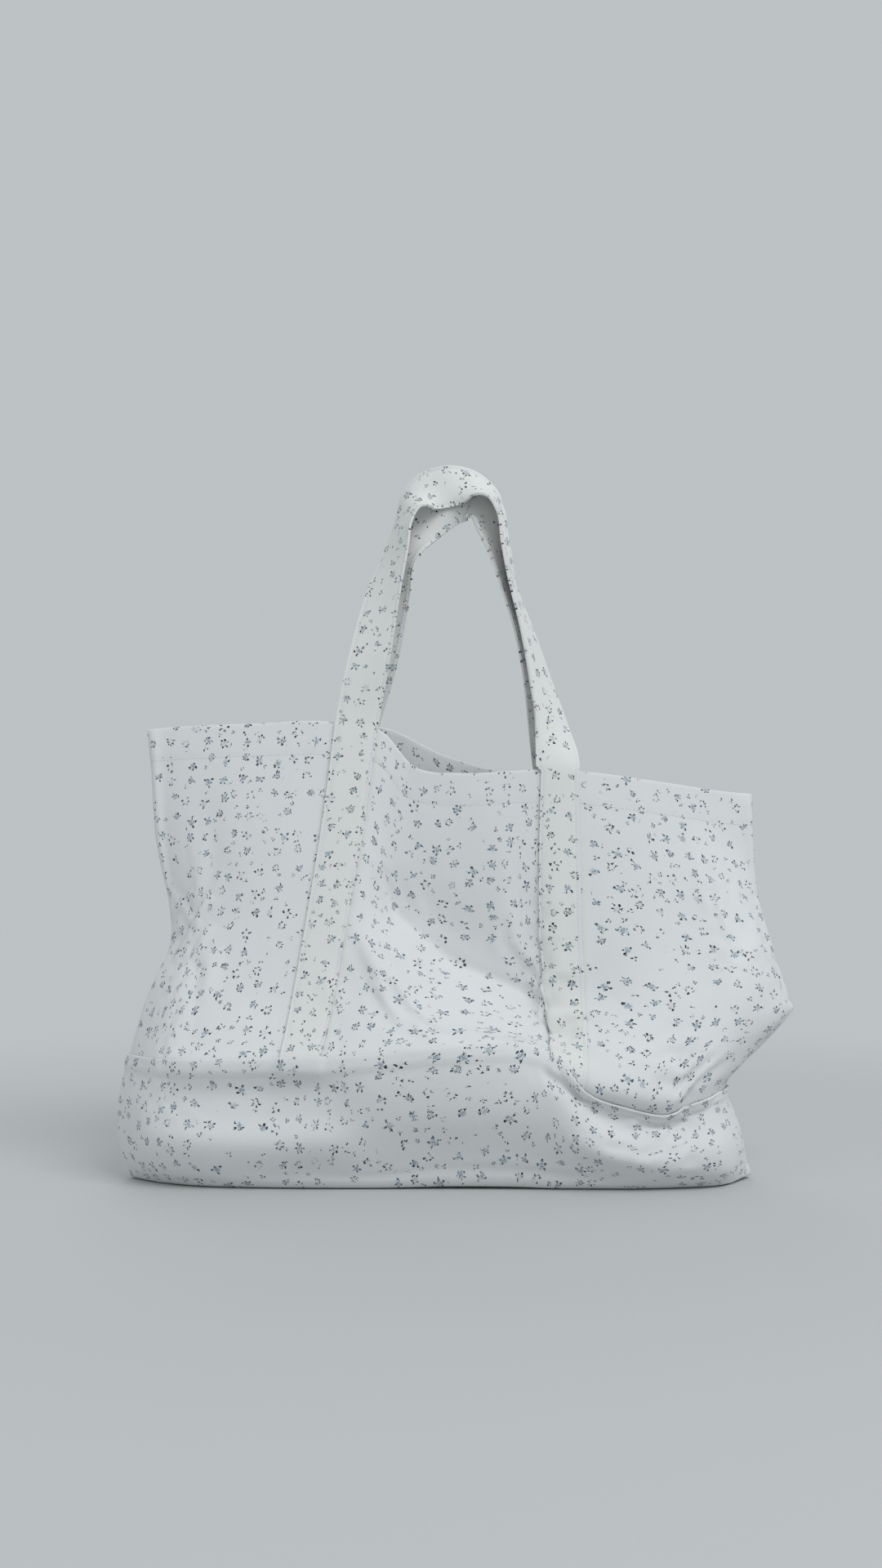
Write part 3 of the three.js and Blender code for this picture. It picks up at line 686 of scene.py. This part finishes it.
edge_columns = np.linspace(FLAT_HALF - GUSSET, FLAT_HALF, 17)
middle_columns = np.linspace(GUSSET - FLAT_HALF, FLAT_HALF - GUSSET, 163)
columns = np.concatenate([-edge_columns[:0:-1], middle_columns, edge_columns[1:]])
panel_rows = np.linspace(WRAP - TUCK, HEIGHT, 98)
bend = np.linspace(0, math.pi, 6)[1:]
hem_rows = np.linspace(HEIGHT - STEP, HEIGHT - HEM + 1, 10)
PANEL_SEEDS = {"front": 0.0, "back": 137.0}
for word, shift in PANEL_SEEDS.items():
    rise, layer, run = turned_edge(panel_rows, HEIGHT, HEM_BEND, hem_rows)
    u, v = np.meshgrid(columns, rise)
    off = np.repeat(layer[:, None], len(columns), axis=1)
    outer = np.repeat((run <= HEIGHT)[:, None], len(columns), axis=1)
    off = off + np.where(outer, panel_off(u, v, shift), panel_off(u, HEIGHT, shift))
    over = np.maximum(v - HEIGHT, 0)
    places = on_cloth(word, u, np.minimum(v, HEIGHT), off)
    lift = on_cloth(word, u, HEIGHT, 0) - on_cloth(word, u, HEIGHT - 4, 0)
    lift /= np.linalg.norm(lift, axis=-1)[..., None]
    places = places + lift * over[..., None] * MM
    flat_v = np.repeat(run[:, None], len(columns), axis=1)
    panel = sheet_piece(word + "_panel_cloth", [(places, u, flat_v, word == "back")])
    give_thickness(panel, CLOTH)
    panel.data.materials.append(canvas(word + " panel canvas", shift, COTTON))
    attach(panel, "bag")
    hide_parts(word + "_panel")

# ---------------------------------------------------------------- base wrap
# One more piece of the same canvas goes under the base and up both sides, with its top edges turned
# in and stitched down over the panels and the strap ends. Its corners are boxed to a flat base.
WRAP_OFF = 1.3          # how far its face stands off the body
WRAP_EDGE = 2.7         # the same over the doubled top edge
WRAP_BEND = 1.0         # radius of the turned edge
WRAP_ROW = WRAP - 4
WRAP_PULL = (0.55, 0.25, 1.7)
STRAP_HALF = 17.5       # half the width of a strap
STRAP = 1.9             # thickness of a strap
UNDERSIDE = 0.0006      # height of the base's face over the floor, in metres


def over_strap(u, v):
    """How far the wrap is lifted where a strap end lies under it."""
    lifted = 0
    for centre in (-STRAP_AT, STRAP_AT):
        lifted = lifted + 1 - ease(np.abs(u - centre), STRAP_HALF - 1, STRAP_HALF + 5)
    return STRAP * lifted * ease(v, WRAP - TUCK - 6, WRAP - TUCK + 4)


def wrap_off(u, v, seed):
    """How far the face of the wrap stands off the body."""
    edge = ease(v, WRAP - 12, WRAP - 9)
    stitched = stitch_line(v - WRAP_ROW, u, WRAP_PULL, 5 + seed)
    seam = GROOVE * bump_at(FLAT_HALF - np.abs(u), GROOVE_WIDTH)
    return WRAP_OFF + (WRAP_EDGE - WRAP_OFF) * edge + over_strap(u, v) - stitched - seam


wrap_rows = np.linspace(0, WRAP, 37)
inner_rows = np.linspace(WRAP - 2, WRAP - 9, 4)
WRAP_SEEDS = {"front": 0.0, "back": 2.0}
grids = []
feet = {}
for word, seed in WRAP_SEEDS.items():
    rise, layer, run = turned_edge(wrap_rows, WRAP, WRAP_BEND, inner_rows)
    u, v = np.meshgrid(columns, rise)
    off = wrap_off(u, np.where(run[:, None] > WRAP, WRAP, v), seed) + layer[:, None]
    places = on_cloth(word, u, v, off)
    flat_v = np.repeat(run[:, None], len(columns), axis=1)
    if word == "back":
        flat_v = -2 * GUSSET - flat_v
    grids.append((places, u, flat_v, word == "back"))
    feet[word] = places[0]

# The underside is drawn between the four lowest rows and laid flat away from them.
corner = len(edge_columns) - 1
long_front = feet["front"][corner:-corner]
long_back = feet["back"][corner:-corner]
end_left = np.concatenate([feet["front"][corner::-1], feet["back"][1:corner + 1]])
end_right = np.concatenate([feet["front"][-corner - 1:], feet["back"][-2:-corner - 2:-1]])
s = np.linspace(0, 1, len(long_front))[None, :, None]
t = np.linspace(0, 1, len(end_left))[:, None, None]
between_sides = (1 - t) * long_front[None] + t * long_back[None]
between_ends = (1 - s) * end_left[:, None] + s * end_right[:, None]
between_corners = (
    (1 - s) * (1 - t) * long_front[0] + s * (1 - t) * long_front[-1]
    + (1 - s) * t * long_back[0] + s * t * long_back[-1]
)
under = between_sides + between_ends - between_corners
from_end = np.minimum(s, 1 - s) * 2 * (FLAT_HALF - GUSSET)
inset = np.minimum(from_end, np.minimum(t, 1 - t) * 2 * GUSSET)[..., 0]
under[..., 2] += (UNDERSIDE - under[..., 2]) * ease(inset, 0, 9)
under_u, under_v = np.meshgrid(middle_columns, np.linspace(0, -2 * GUSSET, len(end_left)))
grids.append((under, under_u, under_v, True))
wrap = sheet_piece("base_wrap_cloth", grids)
give_thickness(wrap, CLOTH)
wrap.data.materials.append(canvas("wrap canvas", 61.0, COTTON))
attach(wrap, "bag")
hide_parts("base_wrap")

# ---------------------------------------------------------------- straps
# Each strap is one long band of the canvas, folded to four layers 35 mm wide and stitched along both
# edges. It starts under the wrap, is sewn up the panel, makes the carrying loop and comes down again.
STRAP_GAP = 0.3         # between a strap and the cloth it is sewn to
STRAP_STEP = 3.0        # from row to row along the loop
EDGE_STITCH = 2.6       # from a strap's edge to its row of stitches
STITCH_PULL = 0.35
STRAP_CROWN = 0.15
HINGE_BELOW = 0.003     # a point this far under the top of a strap's sewn leg, in metres
HINGE_ABOVE = 0.016     # and one this far over it
half_strap = np.array([5, 10, 13.2, 14.4, 14.9, 15.2, 16.0, 16.9, STRAP_HALF])
strap_across = np.concatenate([-half_strap[::-1], [0], half_strap])
MIDDLE_COLUMN = len(half_strap)
EDGE_COLUMN = 4


def turned(angle, downward=False):
    """The right-hand way across a strap that is turned by angle degrees from facing forward."""
    c, s = math.cos(math.radians(angle)), math.sin(math.radians(angle))
    return (-c, -s, 0) if downward else (c, -s, 0)


# Centre of the strap and the way to its right-hand edge, all the way over the loop, in millimetres.
FRONT_LOOP = [
    ((-51, 34, 412), turned(16)), ((-40.5, 46, 466), turned(37)), ((-31, 54, 501), turned(55)),
    ((-26, 57.5, 521), turned(64)), ((-16.5, 60, 542), (0.35, -0.76, -0.55)),
    ((-3, 64, 550), (0.12, -0.25, -0.95)), ((12, 65.5, 554), (0.0, -0.05, -1)),
    ((27, 65, 555), (-0.1, -0.45, -0.88)), ((40, 62, 552), (-0.28, -0.82, -0.5)),
    ((49.5, 59, 545), (-0.3, -0.93, -0.2)), ((54.5, 57.5, 530), turned(84, True)),
    ((59, 56, 503), turned(83, True)), ((65.4, 54, 474), turned(79, True)),
    ((78, 49, 432), turned(69, True)), ((89, 40, 387), turned(55, True)),
    ((95.5, 32, 358), turned(42, True)),
]
BACK_LOOP = [
    ((-45.5, 66, 412), turned(10)), ((-34.5, 66, 460), turned(25)), ((-26, 65.5, 492), turned(42)),
    ((-17, 67, 512), (0.55, -0.35, -0.76)), ((-2, 69, 528), (0.25, -0.1, -0.96)),
    ((16, 69.8, 540), (0.05, -0.03, -1)), ((32, 69.5, 543), (-0.25, -0.12, -0.95)),
    ((43, 68, 534), (-0.62, -0.5, -0.6)), ((48, 65.5, 518), (-0.72, -0.68, -0.12)),
    ((54, 63.5, 498), turned(55, True)), ((62, 61.5, 466), turned(66, True)),
    ((74, 60, 430), turned(62, True)), ((86, 61.5, 387), turned(45, True)),
    ((93.5, 64, 352), turned(25, True)),
]


def gone_along(places):
    """The length travelled at each place of a line."""
    return np.concatenate([[0], np.cumsum(np.linalg.norm(np.diff(places, axis=0), axis=1))])


def ribbon(side, guides):
    """Rows of places across a strap from its first sewn end to its last, and the length at each row."""
    strap_v = np.linspace(WRAP - TUCK + 1, HEIGHT, 92)
    rows = []
    for centre, way, heights in ((-STRAP_AT, 1, strap_v), (STRAP_AT, -1, strap_v[::-1])):
        u, v = np.meshgrid(centre + way * strap_across, heights)
        rows.append(on_cloth(side, u, v, STRAP_GAP + STRAP))
    up_leg, down_leg = rows
    knots = [up_leg[-6], up_leg[-1], down_leg[0], down_leg[5]]
    centres = [knots[0][MIDDLE_COLUMN], knots[1][MIDDLE_COLUMN]]
    ways = [knots[0][-1] - knots[0][0], knots[1][-1] - knots[1][0]]
    for place, way in guides:
        centres.append(np.array(place, float) * MM)
        ways.append(np.array(way, float))
    centres += [knots[2][MIDDLE_COLUMN], knots[3][MIDDLE_COLUMN]]
    ways += [knots[2][-1] - knots[2][0], knots[3][-1] - knots[3][0]]
    centres = np.array(centres)
    ways = np.array([way / np.linalg.norm(way) for way in ways])
    gone = gone_along(centres)
    count = int((gone[-2] - gone[1]) / (STRAP_STEP * MM))
    at = np.linspace(gone[1], gone[-2], count)[1:-1]
    middle = smooth_path(gone, centres, at)
    way = smooth_path(gone, ways, at)
    ahead = np.gradient(middle, axis=0)
    ahead /= np.linalg.norm(ahead, axis=1)[:, None]
    way -= ahead * np.sum(way * ahead, axis=1)[:, None]
    way /= np.linalg.norm(way, axis=1)[:, None]
    loop = middle[:, None] + way[:, None] * strap_across[None, :, None] * MM
    rows = np.concatenate([up_leg, loop, down_leg])
    length = gone_along(rows[:, MIDDLE_COLUMN])
    return rows, length, len(up_leg), len(up_leg) + len(loop)


def facing(rows):
    """The way out of the face of a strap at every place on it."""
    out = np.cross(np.gradient(rows, axis=1), np.gradient(rows, axis=0))
    return out / np.linalg.norm(out, axis=2)[..., None]


straps = {}
for word, guides, shift in (("front", FRONT_LOOP, 211.0), ("back", BACK_LOOP, 307.0)):
    rows, length, first, last = ribbon(word, guides)
    out = facing(rows)
    sign = 1 if word == "front" else -1
    pull = STITCH_PULL * bump_at(np.abs(strap_across) - (STRAP_HALF - EDGE_STITCH), 0.7)
    crown = STRAP_CROWN * (1 - (strap_across / STRAP_HALF) ** 2)
    rows = rows + out * sign * ((crown - pull) * MM)[None, :, None]
    u, v = np.meshgrid(strap_across, length / MM)
    strap = sheet_piece(word + "_strap_cloth", [(rows, u, v, word == "back")])
    give_thickness(strap, STRAP)
    soften = strap.modifiers.new("soft edges", "BEVEL")
    soften.width = 0.5 * MM
    soften.segments = 2
    soften.limit_method = "ANGLE"
    soften.angle_limit = math.radians(50)
    strap.data.materials.append(canvas(word + " strap canvas", shift, STRAP_COTTON))
    left = Vector(rows[first - 1, MIDDLE_COLUMN])
    right = Vector(rows[last, MIDDLE_COLUMN])
    hinge = (right - left).normalized()
    away = (Vector((0, 0, 1)) - hinge * hinge.z).normalized()
    hinge_band = (left - away * HINGE_BELOW, left + away * HINGE_ABOVE)
    word + "_handle"
    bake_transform(strap)
    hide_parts(word + "_strap_left_leg", word + "_strap_right_leg", word + "_handle_loop")
    straps[word] = (strap, rows, facing(rows) * sign, length, (first, last), hinge_band)

# ---------------------------------------------------------------- stitching
# White cotton thread in a straight lock stitch: one row round the hem, one along the top of the wrap
# and one down each edge of the straps. Every stitch is a separate short bead, sunk in the cloth.
PITCH = 3.2             # from stitch to stitch
STITCH = 2.6            # length of one
THREAD = 0.30           # half its width
FLAT_THREAD = 0.22      # half its height
PROUD = 0.08            # how far its middle stands over the cloth
ROW_END = 3             # from a row's end to the side seam
STRAP_CLEAR = STRAP_HALF + 1.5
CLEAR_OF_WRAP = 16      # from a strap's hidden end to its first stitch in sight
WRAP_ROW_PLACES = 340


def thread_finish(name):
    finish = Finish(name)
    place = finish.node("ShaderNodeTexCoord", output=3)
    wear = finish.node("ShaderNodeTexNoise", {}, {"Vector": place, "Scale": 900.0, "Detail": 2.0})
    ply = finish.node("ShaderNodeTexWave", {}, {"Vector": place, "Scale": 1400.0, "Distortion": 2.0})
    bump = finish.node("ShaderNodeBump", {}, {"Strength": 0.3, "Distance": 0.00008, "Height": ply})
    colour = finish.mix(wear, (0.70, 0.71, 0.70, 1), (0.78, 0.785, 0.77, 1))
    finish.shade(Base_Color=colour, Roughness=wear * 0.1 + 0.6, Normal=bump)
    finish.shade(Sheen_Weight=0.1)
    return finish.material


thread = thread_finish("sewing thread")
bead_form = bmesh.new()
bmesh.ops.create_uvsphere(bead_form, u_segments=6, v_segments=4, radius=1)
bead = bpy.data.meshes.new("stitch")
bead_form.to_mesh(bead)
bead_form.free()


def sew(mesh, places, out):
    """Puts stitches along the line through places, whose faces point along out."""
    gone = gone_along(places) / MM

    def at_length(length, values):
        return Vector([np.interp(length, gone, values[:, i]) for i in range(3)])

    starts = np.arange((gone[-1] % PITCH) / 2, gone[-1] - PITCH, PITCH)
    for start in starts:
        ends = [at_length(start, places), at_length(start + STITCH, places)]
        ahead = (ends[1] - ends[0]).normalized()
        up_way = at_length(start + STITCH / 2, out)
        up_way = (up_way - ahead * up_way.dot(ahead)).normalized()
        side_way = up_way.cross(ahead)
        axes = (side_way * THREAD * MM, up_way * FLAT_THREAD * MM, ahead * STITCH / 2 * MM)
        turn = Matrix(axes).transposed().to_4x4()
        stitch = bead.copy()
        stitch.transform(Matrix.Translation((ends[0] + ends[1]) / 2) @ turn)
        mesh.from_mesh(stitch)
        bpy.data.meshes.remove(stitch)


def finish_thread(mesh, name):
    """All the stitches of one kind of seam as one piece."""
    for face in mesh.faces:
        face.smooth = True
    piece = placed(mesh, name)
    piece.data.materials.append(thread)
    return piece


def cloth_row(mesh, side, u, v, off):
    """Sews a row along flat places u, v of one side, over a face that stands off by off."""
    places = on_cloth(side, u, v, off + PROUD)
    sew(mesh, places, on_cloth(side, u, v, off + 1) - on_cloth(side, u, v, off))


hem_threads = {}
wrap_threads = {}
strap_threads = {}
hem_spans = [
    (ROW_END - FLAT_HALF, -STRAP_AT - STRAP_CLEAR),
    (STRAP_CLEAR - STRAP_AT, STRAP_AT - STRAP_CLEAR),
    (STRAP_AT + STRAP_CLEAR, FLAT_HALF - ROW_END),
]
for word in ("front", "back"):
    mesh = bmesh.new()
    for start, end in hem_spans:
        u = np.linspace(start, end, int((end - start) / (PITCH / 2)))
        cloth_row(mesh, word, u, HEM_ROW, panel_off(u, HEM_ROW, PANEL_SEEDS[word]))
    hem_threads[word] = finish_thread(mesh, word + "_hem_thread")
    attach(hem_threads[word], "bag")
    parts = [f"{word}_hem_stitching_{part}" for part in ("left", "middle", "right")]
    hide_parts(*parts)

    mesh = bmesh.new()
    u = np.linspace(ROW_END - FLAT_HALF, FLAT_HALF - ROW_END, WRAP_ROW_PLACES)
    cloth_row(mesh, word, u, WRAP_ROW, wrap_off(u, WRAP_ROW, WRAP_SEEDS[word]))
    wrap_threads[word] = finish_thread(mesh, word + "_wrap_thread")
    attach(wrap_threads[word], "bag")
    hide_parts(word + "_wrap_stitching")

    mesh = bmesh.new()
    strap, rows, out, length, (first, last), (below, above) = straps[word]
    start = int(np.searchsorted(length / MM, CLEAR_OF_WRAP))
    for column in (EDGE_COLUMN, len(strap_across) - 1 - EDGE_COLUMN):
        face = rows[start:-start, column] + out[start:-start, column] * PROUD * MM
        sew(mesh, face, out[start:-start, column])
        reverse = rows[first:last, column] - out[first:last, column] * (STRAP + PROUD) * MM
        sew(mesh, reverse, -out[first:last, column])
    strap_threads[word] = finish_thread(mesh, word + "_strap_thread")
    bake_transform(strap_threads[word], "bag", word + "_handle", start=below, end=above)
    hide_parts(word + "_left_strap_stitching", word + "_right_strap_stitching")

# How each side's panel and strap are held.
for word in ("front", "back"):
    held = {"held": "hung", "rests_on": ["base_wrap_cloth"], "with_pieces": [hem_threads[word]]}
    held = {"held": "hung", "rests_on": [word + "_panel_cloth"], "with_pieces": [strap_threads[word]]}
